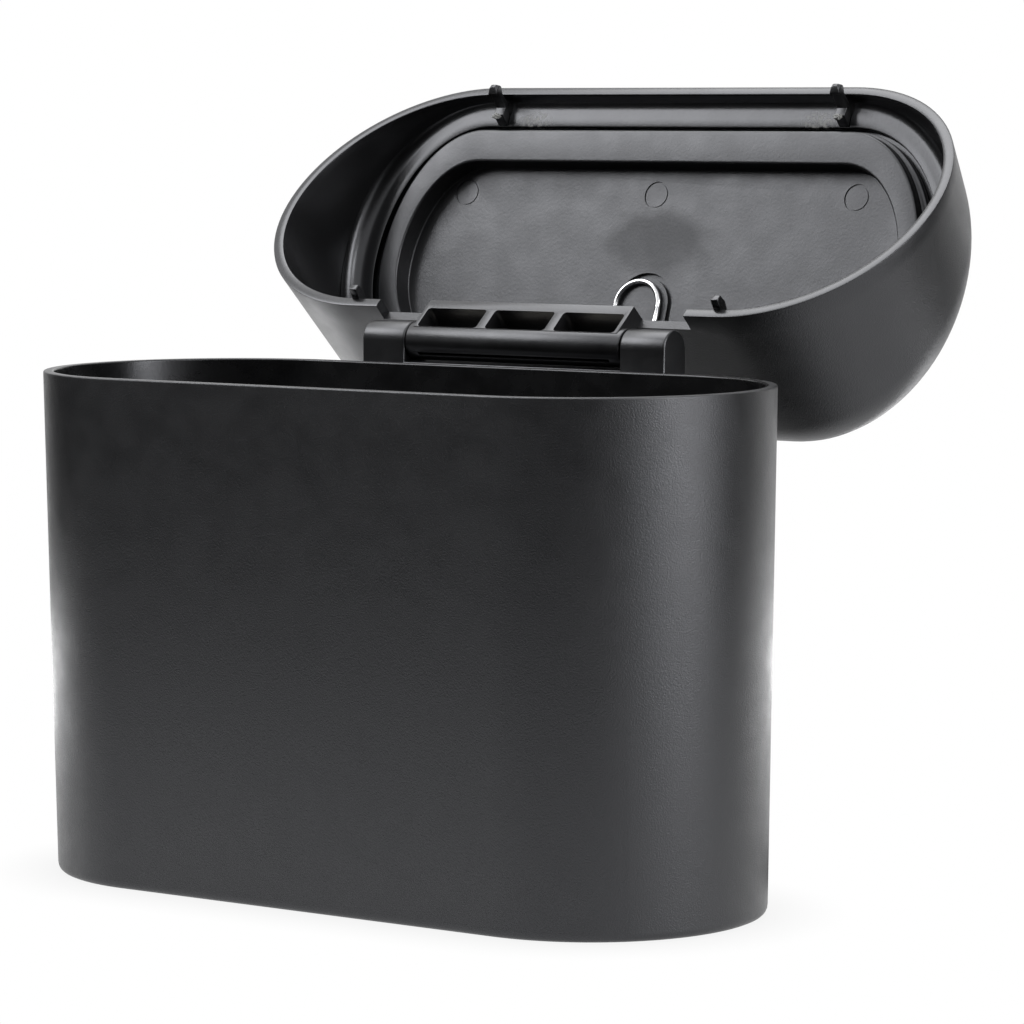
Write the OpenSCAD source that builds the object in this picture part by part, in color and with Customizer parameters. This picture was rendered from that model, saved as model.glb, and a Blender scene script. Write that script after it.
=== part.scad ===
// Car trash bin: an oblong bin with a hinged hood and a sprung push flap.
// Millimetres. The origin is the centre of the underside; +X runs along the long side,
// -Y is the latch side, +Y the hinge side. The lid is drawn open, resting on its stop.

/* [Bin] */
// Length over the rim
rim_l = 200; // [180:1:220]
// Width over the rim
rim_w = 88; // [80:1:96]
// Height of the bin's rim above the surface it stands on
body_h = 125.5; // [100:0.5:150]
// Draft of the bin's walls in degrees
body_draft = 1.0; // [0.5:0.1:1.5]
// Wall of the bin
body_wall = 2.6; // [2:0.1:3]
// Floor of the bin
floor_t = 4.0; // [3:0.1:5]
// Radius round the underside
foot_r = 2.2; // [1:0.1:4]
// Radius between wall and floor inside
inner_r = 4.0; // [2:0.5:8]
// Radius of the rim's edges
rim_edge = 0.5; // [0.2:0.1:0.8]

/* [Hinge] */
// Hinge axis behind the rim's rear face
hinge_back = 7.0; // [6.5:0.1:8]
// Hinge axis above the bin's rim
hinge_up = 5.3; // [5:0.1:6]
// Outer radius of knuckles and barrel
knuckle_r = 4.9; // [4.4:0.1:5]
// Radius of the steel hinge pin
pin_r = 1.25; // [1:0.05:1.6]
// Running clearance round a pin, on the radius
pin_clear = 0.05; // [0.02:0.01:0.09]
// Half length of the lid's barrel
barrel_half = 32.7; // [28:0.1:36]
// Length of one knuckle along the axis
knuckle_l = 13.3; // [10:0.1:16]
// Gap between barrel and knuckle
hinge_gap = 0.35; // [0.2:0.05:0.6]
// Depth of the hinge bracket below the rim
bracket_drop = 24; // [16:1:34]
// Closed end wall of a knuckle's bore
knuckle_cap = 2.2; // [1.5:0.1:4]
// Width of the slot that shows the pin
pin_slot = 1.1; // [0.8:0.1:1.6]

/* [Lid] */
// How far the lid is open in degrees
open_deg = 140.5; // [100:0.5:150]
// Gap between the closed lid and the bin's rim
lid_gap = 0.3; // [0.2:0.05:0.6]
// Slope of the lid's face in degrees
face_slope = 32; // [28:0.5:36]
// Height of the sloping face above the lid's rim, over the latch side's edge
front_h = 13.1; // [12:0.1:16]
// Draft of the lid's walls in degrees
lid_draft = 6.1; // [4:0.1:7]
// Outer radius between the lid's walls and its face
crest_r = 14; // [12:0.5:16]
// Wall of the lid
lid_wall = 2.0; // [1.8:0.1:2.4]
// Width of the lid's rim
lid_rim_w = 2.9; // [2.4:0.1:3.2]
// Half length of the notch for the knuckles
notch_half = 47.2; // [47:0.1:50]
// Height of that notch
notch_h = 5.0; // [4:0.1:7]
// Number of core-out pockets in the hinge block
pocket_n = 3; // [2:1:5]
// Wall at either end of the row of pockets
pocket_end = 1.1; // [0.9:0.1:2]
// Rib between two pockets
pocket_rib = 2.6; // [2:0.1:4]
// Depth of the pockets
pocket_d = 8.2; // [6:0.1:8.4]
// Corner radius of the pockets
pocket_r = 1.0; // [0.5:0.1:2]

/* [Pegs and hooks] */
// Locating pegs in from the ends of the straight sides
peg_in_x = 0.4; // [0:0.1:4]
// Thickness of a peg
peg_t = 2.2; // [1.6:0.1:3]
// How far a peg stands out of the rim
peg_out = 2.6; // [2:0.1:4]
// How far a peg reaches in from the wall
peg_in = 3.0; // [2:0.1:4]
// Gap between a peg and the bin's wall
peg_gap = 0.3; // [0.2:0.05:0.5]
// Latch hooks in from the ends of the straight sides
hook_in_x = 2.5; // [1:0.5:8]
// Width of a hook
hook_w = 3.0; // [2:0.1:6]
// Thickness of a hook's finger under its head
hook_t = 1.1; // [0.9:0.1:2]
// How far a hook stands out of the rim
hook_out = 4.8; // [3:0.1:5.5]
// How far a hook's head stands in over its finger
hook_head = 1.2; // [0.6:0.1:1.6]
// Height of a hook's gusset over the lid's rim
gusset_z = 2.3; // [1.5:0.1:3]
// How far a gusset leans out to the wall from the stem
gusset_out = 0.3; // [0:0.1:0.5]
// Gap between a gusset's end and the ledge's inner edge
gusset_in = 0.15; // [0.1:0.05:1]
// Height over which a hook's sides stay parallel, from its tip
hook_tall = 24; // [20:1:30]
// How far a hook's foot stays off the fillet behind it
foot_lift = 1.2; // [0.8:0.1:1.6]
// How far the hook's barb stands out of its stem
barb = 0.7; // [0.4:0.1:1]
// Glue line between a hook's foot and the ledge
bond_gap = 0.15; // [0.1:0.05:0.3]
// Clearance between a barb and the catch rib that it snaps past
catch_clear = 0.4; // [0.2:0.05:0.5]
// How far a catch rib stands out of the bin's wall
catch_t = 0.6; // [0.4:0.1:1]
// Width of a catch rib
catch_w = 9; // [6:0.5:14]
// Height of a catch rib
catch_h = 1.2; // [0.8:0.1:1.6]
// Depth of a catch rib's top below the bin's rim
catch_drop = 1.0; // [0.8:0.1:1.4]

/* [Flap frame] */
// Gap between the frame and the hood's wall
frame_gap = 0.15; // [0.1:0.05:0.3]
// Depth of the frame's ledge below the sloping face
ledge_depth = 9.5; // [9:0.1:11]
// How far the fillet reaches into the hood's wall, so that it ends in a clean edge
fillet_over = 0.4; // [0.3:0.05:0.6]
// Thickness of the ledge
ledge_t = 2.0; // [1.6:0.1:2.6]
// Fillet between ledge and wall
ledge_r = 4.5; // [3:0.5:5]
// Depth of the seat below the ledge
seat_depth = 2.4; // [2:0.1:3]
// Thickness of the frame's seat
seat_t = 1.8; // [1.4:0.1:2.2]
// Thickness of the collar round the opening
collar_t = 1.8; // [1.4:0.1:2.4]
// Depth of the collar's edge below the sloping face
collar_top = 2.6; // [2.4:0.1:3.4]
// Gap between the collar and the hood's opening
collar_gap = 0.3; // [0.2:0.05:0.5]

/* [Flap] */
// Flat ledge between fillet and flap, at the front
ledge_front_w = 2.9; // [2:0.1:4]
// Flat ledge between fillet and flap, at the rear
ledge_rear_w = 5.8; // [4.6:0.1:7]
// Flat ledge between fillet and flap, at the ends
ledge_end_w = 3.4; // [2:0.1:5]
// Length of one rounded end of the flap's seat
seat_end = 30.5; // [28:0.1:32]
// Widest place of the flap, up the slope from its middle
wide_shift = 3.2; // [2:0.1:4]
// Width of the ring at the front
ring_w_front = 9.0; // [7:0.1:10]
// Width of the ring at the rear
ring_w_rear = 7.0; // [6:0.1:9]
// Width of the ring at the ends
ring_w_end = 5.8; // [5.6:0.1:7]
// Height of the ring above the flange
ring_h = 3.2; // [2.6:0.1:4]
// Depth of the panel inside the ring
recess = 6.0; // [5:0.1:7]
// Thickness of the panel
panel_t = 1.8; // [1.6:0.1:2.6]
// Walls of the flap's ring
ring_wall = 1.7; // [1.4:0.1:1.9]
// Width of the flange at the ends
flange_w = 1.9; // [1.6:0.1:2.2]
// Width of the flange at the front and rear
flange_w_front = 0.8; // [0.6:0.1:1]
// Gap between the flange and its seat
flap_gap = 0.3; // [0.2:0.05:0.4]
// Gap round the flange at the ends
end_gap = 2.3; // [1.6:0.1:2.6]
// Gap round the flange at the front and rear
front_gap = 0.9; // [0.8:0.1:1.2]
// Width of the seat under the flap
seat_w = 3.3; // [3:0.1:3.6]
// Outer ejector marks beyond the flap's straight edge
mark_over = 0; // [-4:0.5:4]
// Distance of the marks from the ring's front inner edge
mark_in = 9.6; // [8:0.2:12]
// Radius of an ejector mark
mark_r = 3.4; // [2.5:0.1:4]
// Depth of an ejector mark
mark_d = 0.15; // [0.1:0.05:0.3]

/* [Flap hinge] */
// Radius of the flap's pivot rod
rod_r = 1.0; // [0.9:0.05:1.2]
// Pivot behind the edge of the flap's seat
rod_back = 4.2; // [4:0.1:4.6]
// Pivot below the ledge
rod_drop = 4.5; // [4.2:0.1:5]
// Outer radius of the eyes round the rod
eye_r = 2.7; // [2.4:0.1:2.8]
// Centre of a flap arm from the middle
arm_x = 29.5; // [27:0.5:32]
// Width of a flap arm
arm_w = 7.5; // [5:0.1:9]
// Gap between a flap arm and the frame's ears
ear_gap = 0.4; // [0.3:0.05:0.6]
// Thickness of an ear
ear_t = 2.4; // [1.8:0.1:3]
// Gap between a flap arm and the ledge
arm_gap = 0.8; // [0.6:0.1:1]

/* [Spring] */
// Radius of the spring's wire
wire_r = 0.75; // [0.6:0.05:0.85]
// Clearance between the rod and the coils
coil_clear = 0.3; // [0.2:0.05:0.5]
// Turns in each coil
coil_turns = 4; // [2:1:5]
// Gap between two turns
turn_gap = 0.15; // [0.1:0.05:0.4]
// Half width of the spring's U-shaped leg
leg_x = 6.6; // [5.5:0.1:7]
// Distance from the pivot to the centre of that leg's bend
leg_reach = 27.6; // [24:0.1:32]
// How far the spring has slid along its rod to the left
spring_slid = 1.4; // [0:0.1:3]
// Gap between the wire and what it bears on
wire_gap = 0.2; // [0.1:0.05:0.3]
// Length of the outer legs behind the rod
tail_l = 3.6; // [3:0.1:4]
// Width of the pad that the U-shaped leg bears on, inside its groove
pad_w = 15; // [14:0.1:18]
// Distance from the pivot to the centre of the pad's bend
pad_reach = 28; // [24:0.1:32]
// Width of the groove round that pad
groove_w = 1.3; // [0.8:0.1:2]
// Depth of that groove
groove_d = 1.0; // [0.4:0.1:1.1]

/* [Hidden] */
plastic = [0.13, 0.13, 0.14];
steel = [0.75, 0.76, 0.78];
smooth = 96;
ball_fn = 32;
cut = 1;
end_r = rim_w / 2;
half_l = rim_l / 2 - end_r;
base_in = body_h * tan(body_draft);
peg_x = half_l - peg_in_x;
hook_x = half_l - hook_in_x;
axis_y = end_r + hinge_back;
axis_z = body_h + hinge_up;
lid_z = body_h + lid_gap;
knuckle_in = barrel_half + hinge_gap;
knuckle_out = knuckle_in + knuckle_l;
bore_r = pin_r + pin_clear;
block_half = barrel_half - 1.4;
pocket_l = (2 * (block_half - pocket_end) - (pocket_n - 1) * pocket_rib) / pocket_n;
front_inner = end_r - body_wall;
// Crest spheres: their centres follow the walls and the sloping face
wall_slope = tan(lid_draft);
rise = tan(face_slope);
face_h = front_h + end_r * rise;
crest_base = face_h - crest_r / cos(face_slope);
crest_out = end_r - crest_r / cos(lid_draft);
crest_steps = 12;
// Flap outlines, as distances from the flap's centre in the sloping plane
ledge_w = -ledge_depth;
seat_wz = ledge_w + seat_depth;
ring_top = ledge_w - ring_h;
panel_in = ring_top + recess;
panel_out = panel_in + panel_t;
rod_w = ledge_w - rod_drop;
coil_r = rod_r + coil_clear + wire_r;
oval_steps = 20;
eps = 0.01;

function crest_radius(a) = (crest_out - wall_slope * crest_base) / (1 + wall_slope * rise * sin(a));
function crest_point(a) = [half_l + crest_radius(a) * cos(a), crest_radius(a) * sin(a),
                           crest_base + rise * crest_radius(a) * sin(a)];
// Down the slope and square to it, for a point of the lid's YZ plane
function slope_v(y, z) = y * cos(face_slope) + (z - face_h) * sin(face_slope);
function slope_w(y, z) = -y * sin(face_slope) + (z - face_h) * cos(face_slope);
crest_front = slope_v(crest_point(-90)[1], crest_point(-90)[2]);
crest_rear = slope_v(crest_point(90)[1], crest_point(90)[2]);
crest_w = slope_w(0, crest_base);
fillet_grow = crest_r - lid_wall - frame_gap - ledge_r + fillet_over;
// Flap and its seat take what the ledge leaves of the sloping face
flat_front = crest_front - fillet_grow;
flat_rear = crest_rear + fillet_grow;
flat_end = half_l + crest_radius(0) + fillet_grow;
seat_half = (flat_rear - ledge_rear_w - flat_front - ledge_front_w) / 2;
flap_up = (flat_rear - ledge_rear_w + flat_front + ledge_front_w) / 2 + wide_shift;
seat_front = seat_half + wide_shift;
seat_rear = seat_half - wide_shift;
flap_half = flat_end - ledge_end_w - seat_end;
ring_rx = seat_end - end_gap - flange_w;
ring_front = seat_front - front_gap - flange_w_front;
ring_rear = seat_rear - front_gap - flange_w_front;
rod_v = seat_rear + rod_back;
leg_bend = rod_v - leg_reach;

// Oval with straight long edges and elliptical ends, deeper at the front than at the rear
function oval_pts(hx, rx, front, rear) = concat(
    [for (i = [0 : oval_steps]) let (a = 180 * i / oval_steps - 90)
        [hx + rx * cos(a), (a < 0 ? front : rear) * sin(a)]],
    [for (i = [0 : oval_steps]) let (a = 90 - 180 * i / oval_steps)
        [-hx - rx * cos(a), (a < 0 ? front : rear) * sin(a)]]);

module oval(hx, rx, front, rear) {
    polygon(oval_pts(hx, rx, front, rear));
}

// Prism on the sloping plane between two levels
module slab(lo, hi) {
    translate([0, 0, lo]) linear_extrude(height = hi - lo) children();
}

// Stand of the closed lid, then swung open about the hinge axis
module on_lid() {
    translate([0, axis_y, axis_z])
        rotate([-open_deg, 0, 0])
            translate([0, -axis_y, lid_z - axis_z])
                children();
}

// The lid's sloping plane
module on_face() {
    translate([0, 0, face_h]) rotate([face_slope, 0, 0]) children();
}

module on_flap() {
    on_face() translate([0, flap_up, 0]) children();
}

// Half of the bin's section, out from the end axis
module bin_section() {
    r_top = end_r;
    r_foot = end_r - base_in;
    in_top = r_top - body_wall;
    in_floor = r_foot - body_wall + floor_t * tan(body_draft);
    difference() {
        union() {
            polygon([[0, 0], [r_foot - foot_r, 0], [r_foot - foot_r, foot_r], [0, foot_r]]);
            polygon([[0, foot_r], [r_foot + foot_r * tan(body_draft), foot_r],
                     [r_top, body_h - rim_edge], [r_top - rim_edge, body_h], [0, body_h]]);
            translate([r_foot - foot_r, foot_r]) intersection() {
                circle(r = foot_r, $fn = smooth);
                translate([0, -foot_r]) square([foot_r, foot_r]);
            }
        }
        polygon([[-cut, floor_t], [in_floor - inner_r, floor_t],
                 [in_floor - inner_r * 0.29, floor_t + inner_r * 0.29],
                 [in_floor + inner_r * tan(body_draft), floor_t + inner_r],
                 [in_top, body_h - rim_edge], [in_top + rim_edge, body_h], [in_top + rim_edge, body_h + cut],
                 [-cut, body_h + cut]]);
    }
}

module bin_shell() {
    for (side = [0, 1]) mirror([side, 0, 0]) translate([half_l, 0, 0]) rotate([0, 0, -90])
        rotate_extrude(angle = 180, $fn = smooth) bin_section();
    rotate([90, 0, 90]) linear_extrude(height = 2 * half_l, center = true) union() {
        bin_section();
        mirror([1, 0]) bin_section();
    }
}

// Profile of a bracket arm: a tombstone on a foot that runs into the rear wall
module bracket_profile(top) {
    back = axis_y + knuckle_r;
    front = axis_y - knuckle_r;
    wall_y = end_r - body_wall / 2;
    polygon([[wall_y, body_h - bracket_drop], [wall_y + 2, body_h - bracket_drop],
             [back - 1, body_h - 11], [back, body_h - 8.5], [back, top], [front, top],
             [front, body_h - 1], [wall_y, body_h - 1]]);
}

module along_x(x0, x1) {
    translate([x0, 0, 0]) rotate([90, 0, 90]) linear_extrude(height = x1 - x0) children();
}

module bin_body() {
    web_top = axis_z - knuckle_r - hinge_gap;
    color(plastic) difference() {
        union() {
            bin_shell();
            along_x(-knuckle_out, knuckle_out) bracket_profile(web_top);
            for (side = [0, 1]) mirror([side, 0, 0]) {
                along_x(knuckle_in, knuckle_out) union() {
                    bracket_profile(axis_z);
                    translate([axis_y, axis_z]) circle(r = knuckle_r, $fn = smooth);
                }
                translate([hook_x - catch_w / 2, -front_inner - catch_t, body_h - catch_drop - catch_h])
                    cube([catch_w, 2 * catch_t, catch_h]);
            }
        }
        translate([0, axis_y, axis_z]) rotate([0, 90, 0])
            cylinder(r = bore_r, h = 2 * (knuckle_out - knuckle_cap), center = true, $fn = smooth);
    }
}

// Rounded hood form: the rim outline joined to spheres under the sloping face
module hood_form(skin, rim_in) {
    for_r = crest_r - skin;
    hull() {
        for (side = [-1, 1]) {
            translate([side * half_l, 0, rim_in > 0 ? -cut : 0])
                cylinder(r = end_r - rim_in, h = rim_in > 0 ? cut : eps, $fn = smooth);
            for (i = [0 : crest_steps]) {
                p = crest_point(180 * i / crest_steps - 90);
                translate([side * p[0], p[1], p[2]]) sphere(r = for_r, $fn = ball_fn);
            }
        }
    }
}

// Block and barrel of the lid's half of the hinge
module hinge_block() {
    by = axis_y;
    bz = axis_z - lid_z;
    inner_y = end_r - lid_rim_w;
    difference() {
        union() {
            along_x(-block_half, block_half)
                polygon([[inner_y, 0], [by, 0], [by, 2 * bz - 0.4], [end_r - 2, 2 * bz + 3],
                         [end_r - 2 - lid_rim_w, 2 * bz + 3]]);
            translate([0, by, bz]) rotate([0, 90, 0])
                cylinder(r = knuckle_r, h = 2 * barrel_half, center = true, $fn = smooth);
        }
        for (i = [0 : pocket_n - 1]) {
            x0 = (i - (pocket_n - 1) / 2) * (pocket_l + pocket_rib) - pocket_l / 2;
            translate([x0, end_r, -cut]) linear_extrude(height = pocket_d + cut)
                pocket_outline(pocket_l, hinge_back);
        }
    }
}

module pocket_outline(l, w) {
    r = pocket_r;
    translate([r, 0]) square([l - 2 * r, w]);
    translate([0, r]) square([l, w - 2 * r]);
    for (x = [r, l - r], y = [r, w - r]) translate([x, y]) circle(r = r, $fn = 24);
}

module peg() {
    inner_y = end_r - lid_rim_w;
    along_x(-peg_t / 2, peg_t / 2)
        polygon([[front_inner - peg_gap, 0], [front_inner - peg_gap - 0.4, -peg_out],
                 [inner_y - peg_in + 0.8, -peg_out],
                 [inner_y - peg_in, 0], [inner_y - 1, 7], [inner_y + 0.4, 7]]);
}

module lid_hood() {
    big = rim_l;
    bz = axis_z - lid_z;
    color(plastic) on_lid() difference() {
        union() {
            difference() {
                intersection() {
                    hood_form(0, 0);
                    translate([-big, -big, 0]) cube([2 * big, 2 * big, big]);
                }
                hood_form(lid_wall, lid_rim_w);
                translate([-notch_half, end_r - 3 * lid_rim_w, -cut])
                    cube([2 * notch_half, 4 * lid_rim_w, notch_h + cut]);
                on_flap() slab(-6, 6) flap_opening(collar_t + collar_gap);
            }
            hinge_block();
            for (side = [-1, 1]) translate([side * peg_x, 0, 0]) peg();
        }
        translate([0, axis_y, bz]) rotate([0, 90, 0])
            cylinder(r = bore_r, h = 2 * barrel_half + 2 * cut, center = true, $fn = smooth);
        translate([-block_half + 2, axis_y, bz - pin_slot / 2])
            cube([2 * block_half - 4, knuckle_r + cut, pin_slot]);
    }
}

module lid_hinge_pin() {
    half = knuckle_out - knuckle_cap - 0.3;
    color(steel) translate([-half, axis_y, axis_z]) rotate([0, 90, 0])
        cylinder(r = pin_r, h = 2 * half, $fn = smooth);
}

// Outlines that share the flap's centre
module ring_outline(d) {
    oval(flap_half, ring_rx + d, ring_front + d, ring_rear + d);
}
module recess_outline(d) {
    oval(flap_half, ring_rx - ring_w_end + d, ring_front - ring_w_front + d, ring_rear - ring_w_rear + d);
}
module flange_outline() {
    oval(flap_half, ring_rx + flange_w, ring_front + flange_w_front, ring_rear + flange_w_front);
}
module ledge_outline(d) {
    oval(flap_half, seat_end + d, seat_front + d, seat_rear + d);
}
module flap_opening(d) {
    oval(flap_half, seat_end - seat_w - 0.4 + d, seat_front - seat_w + d, seat_rear - seat_w + d);
}

// Rounded cutter that leaves the fillet between ledge and wall
module fillet_form() {
    mid = (crest_front + crest_rear) / 2;
    reach = (crest_rear - crest_front) / 2 + fillet_grow;
    rx = crest_radius(0) + fillet_grow;
    hull() for (side = [-1, 1], i = [0 : crest_steps]) {
        a = 180 * i / crest_steps - 90;
        for (deep = [0, 12]) if (deep == 0 || i % 3 == 0)
            translate([side * (half_l + rx * cos(a)), mid + reach * sin(a), ledge_w - ledge_r - deep])
                sphere(r = ledge_r, $fn = ball_fn);
    }
}

module ear() {
    base = ledge_w + ledge_t / 2;
    lift = rod_w;
    along_x(-ear_t / 2, ear_t / 2) union() {
        polygon([[rod_v - eye_r, lift], [rod_v - eye_r, base],
                 [rod_v + eye_r + 1, base], [rod_v + eye_r, lift]]);
        translate([rod_v, lift]) circle(r = eye_r, $fn = smooth);
    }
}

module flap_frame() {
    color(plastic) on_lid() difference() {
        union() {
            difference() {
                intersection() {
                    hood_form(lid_wall + frame_gap, lid_rim_w + frame_gap);
                    on_face() slab(ledge_w - ledge_r, ledge_w + ledge_t)
                        square([2 * rim_l, 2 * rim_l], center = true);
                }
                on_face() fillet_form();
                translate([-rim_l, -rim_l, -rim_l]) cube([2 * rim_l, 2 * rim_l, rim_l + 0.6]);
            }
            on_flap() slab(ledge_w, seat_wz + seat_t) ledge_outline(1.6);
            on_flap() slab(seat_wz, -collar_top) flap_opening(collar_t);
            on_flap() for (side = [-1, 1], e = [-1, 1])
                translate([side * arm_x + e * (arm_w / 2 + ear_gap + ear_t / 2), 0, 0]) ear();
        }
        on_flap() {
            slab(ledge_w - cut, seat_wz) ledge_outline(0);
            slab(ledge_w - cut, cut) flap_opening(0);
            translate([0, rod_v, rod_w]) rotate([0, 90, 0])
                cylinder(r = rod_r + pin_clear, h = rim_l / 2, center = true, $fn = smooth);
        }
    }
}

// Height of a hook's foot over the lid's rim, at a place across the lid
function ledge_z(y) = face_h + y * tan(face_slope) - (ledge_depth + bond_gap) / cos(face_slope);

// Latch hook: a gusset over the ledge's fillet, and a finger with a barbed head that stands on it
module latch_hook() {
    stem_y = -(front_inner - catch_t - catch_clear - barb);
    inner_y = stem_y + hook_t;
    foot_y = (flap_up - seat_front) * cos(face_slope) + ledge_depth * sin(face_slope) - gusset_in;
    fillet_y = flat_front * cos(face_slope) + ledge_depth * sin(face_slope);
    intersection() {
        along_x(-hook_w / 2, hook_w / 2)
            polygon([[fillet_y, ledge_z(fillet_y)], [stem_y, ledge_z(stem_y) - foot_lift],
                     [stem_y - gusset_out, gusset_z - 0.3], [stem_y, -hook_out + 3.2],
                     [stem_y - barb, -hook_out + 2.0], [stem_y - barb, -hook_out + 1.3],
                     [stem_y + 0.3, -hook_out], [inner_y, -hook_out],
                     [inner_y + hook_head, -hook_out + 1.4], [inner_y + hook_head, -hook_out + 2.1],
                     [inner_y, -hook_out + 2.6], [inner_y + 0.4, gusset_z],
                     [foot_y, gusset_z + 0.6], [foot_y, ledge_z(foot_y)]]);
        translate([0, 0, -hook_out]) rotate([90, 0, 0]) linear_extrude(height = rim_w, center = true)
            polygon([[-hook_w / 2, hook_tall], [-hook_w / 2, 2.4], [-hook_w / 4, 0.3], [0, 0],
                     [hook_w / 3, 0.1], [hook_w / 2, 0.9], [hook_w / 2, hook_tall]]);
    }
}

module latch_hook_left() {
    color(plastic) on_lid() translate([-hook_x, 0, 0]) latch_hook();
}

module latch_hook_right() {
    color(plastic) on_lid() translate([hook_x, 0, 0]) latch_hook();
}

module flap_arm() {
    along_x(-arm_w / 2, arm_w / 2) union() {
        polygon([[ring_rear - ring_wall - 0.1, ring_top + 0.2], [ring_rear - ring_w_rear, ring_top],
                 [rod_v, rod_w - eye_r], [rod_v, ledge_w - arm_gap], [ring_rear - 0.6, ledge_w - arm_gap]]);
        translate([rod_v, rod_w]) circle(r = eye_r, $fn = smooth);
    }
}

// Round-ended pad under the spring's leg, grown by a distance
module pad_outline(grow) {
    translate([0, rod_v - pad_reach]) circle(r = pad_w / 2 + grow, $fn = smooth);
    translate([-pad_w / 2 - grow, rod_v - pad_reach]) square([pad_w + 2 * grow, ring_rear - ring_w_rear]);
}

module push_flap() {
    color(plastic) on_lid() on_flap() difference() {
        union() {
            slab(ring_top, seat_wz - flap_gap) ring_outline(0);
            slab(ledge_w, seat_wz - flap_gap) flange_outline();
            slab(ring_top, panel_out) recess_outline(ring_wall);
            for (side = [-1, 1]) translate([side * arm_x, 0, 0]) flap_arm();
        }
        slab(ring_top - cut, panel_in) difference() {
            recess_outline(0);
            for (side = [-1, 1])
                translate([side * arm_x - arm_w / 2, ring_rear - ring_w_rear]) square([arm_w, eps]);
        }
        slab(ring_top + ring_wall, panel_out + cut) difference() {
            ring_outline(-ring_wall);
            recess_outline(ring_wall);
        }
        for (i = [-1 : 1]) translate([i * (flap_half + mark_over), mark_in + ring_w_front - ring_front, panel_in - cut])
            cylinder(r = mark_r, h = mark_d + cut, $fn = smooth);
        slab(panel_in - cut, panel_in + groove_d) intersection() {
            difference() {
                pad_outline(groove_w);
                pad_outline(0);
            }
            recess_outline(-0.3);
        }
        translate([0, rod_v, rod_w]) rotate([0, 90, 0])
            cylinder(r = rod_r + pin_clear, h = rim_l / 2, center = true, $fn = smooth);
    }
}

module flap_pivot_rod() {
    half = arm_x + arm_w / 2 + ear_gap + ear_t + 1;
    color(steel) on_lid() on_flap() translate([-half, rod_v, rod_w]) rotate([0, 90, 0])
        cylinder(r = rod_r, h = 2 * half, $fn = smooth);
}

// Double torsion spring: tail, coil, U-shaped leg, coil, tail, as one centre line
turn_steps = 12;
turn_pitch = 2 * wire_r + turn_gap;
coil_end = leg_x + coil_turns * turn_pitch;
leg_low = panel_in - wire_gap - wire_r;
leg_high = ring_top - wire_gap - wire_r;
over_y = ring_rear - ring_w_rear;
function coil_pt(t) = [leg_x + t * turn_pitch, rod_v + coil_r * sin(360 * t),
                       rod_w - coil_r * cos(360 * t)];
half_path = concat(
    [for (i = [0 : 5]) let (a = 90 * i / 5) [leg_x * sin(a), leg_bend - leg_x * cos(a), leg_low]],
    [[leg_x, leg_bend + 3, leg_low], [leg_x, over_y - 8, leg_low - 0.8], [leg_x, over_y - 5, leg_low - 2.6],
     [leg_x, over_y - 2, leg_high + 0.5], [leg_x, over_y + 1, leg_high - 0.3],
     [leg_x, over_y + 4, leg_high - 0.4]],
    [for (i = [0 : coil_turns * turn_steps]) coil_pt(i / turn_steps)],
    [[coil_end, rod_v + tail_l * 0.5, rod_w - coil_r + 0.5],
     [coil_end, rod_v + tail_l * 0.9, rod_w - coil_r + 1.9],
     [coil_end, rod_v + tail_l, ledge_w - wire_r - wire_gap - 0.6]]);
last = len(half_path) - 1;
spring_path = concat([for (i = [0 : last - 1]) let (p = half_path[last - i]) [-p[0], p[1], p[2]]], half_path);

function unit(v) = v / norm(v);
function tangent(p, i) = unit(p[min(i + 1, len(p) - 1)] - p[max(i - 1, 0)]);
function square_to(v, t) = unit(v - (v * t) * t);

// Tube of the wire along a path, with its rings kept from twisting
module wire(p, r, sides) {
    n = len(p);
    normals = [for (i = 0, v = square_to([0, 0, 1], tangent(p, 0)); i < n;
                    i = i + 1, v = i < n ? square_to(v, tangent(p, i)) : v) v];
    pts = [for (i = [0 : n - 1]) let (t = tangent(p, i), u = normals[i], w = cross(t, u))
           for (k = [0 : sides - 1]) p[i] + r * (cos(360 * k / sides) * u + sin(360 * k / sides) * w)];
    walls = [for (i = [0 : n - 2], k = [0 : sides - 1])
             [i * sides + k, i * sides + (k + 1) % sides,
              (i + 1) * sides + (k + 1) % sides, (i + 1) * sides + k]];
    caps = [[for (k = [sides - 1 : -1 : 0]) k], [for (k = [0 : sides - 1]) (n - 1) * sides + k]];
    polyhedron(points = pts, faces = concat(walls, caps), convexity = 10);
}

module flap_spring() {
    color(steel) on_lid() on_flap() translate([-spring_slid, 0, 0]) wire(spring_path, wire_r, 8);
}

bin_body();
lid_hood();
lid_hinge_pin();
flap_frame();
latch_hook_left();
latch_hook_right();
push_flap();
flap_pivot_rod();
flap_spring();
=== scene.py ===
"""Looks of the car trash bin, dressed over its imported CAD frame.

Lengths inside the helpers are millimetres in the closed lid's own frame or in the bin's frame,
and are turned into metres as each mesh is made.
"""

import math

import bmesh
import bpy
from mathutils import Matrix, Vector, noise


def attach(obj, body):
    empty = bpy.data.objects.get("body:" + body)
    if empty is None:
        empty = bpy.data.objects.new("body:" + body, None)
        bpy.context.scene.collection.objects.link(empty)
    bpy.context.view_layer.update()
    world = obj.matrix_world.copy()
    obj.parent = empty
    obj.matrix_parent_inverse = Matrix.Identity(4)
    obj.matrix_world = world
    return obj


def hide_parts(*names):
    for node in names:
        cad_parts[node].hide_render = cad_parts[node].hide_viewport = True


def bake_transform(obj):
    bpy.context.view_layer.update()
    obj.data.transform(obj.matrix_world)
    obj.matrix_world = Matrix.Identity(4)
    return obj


bl_info = {
    "name": "Car trash bin",
    "version": (1, 0, 0),
    "blender": (4, 5, 0),
    "location": "3D View > Sidebar > Trash Bin",
    "description": "Builds the finished look of a car trash bin over its CAD frame",
    "category": "Object",
}

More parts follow.
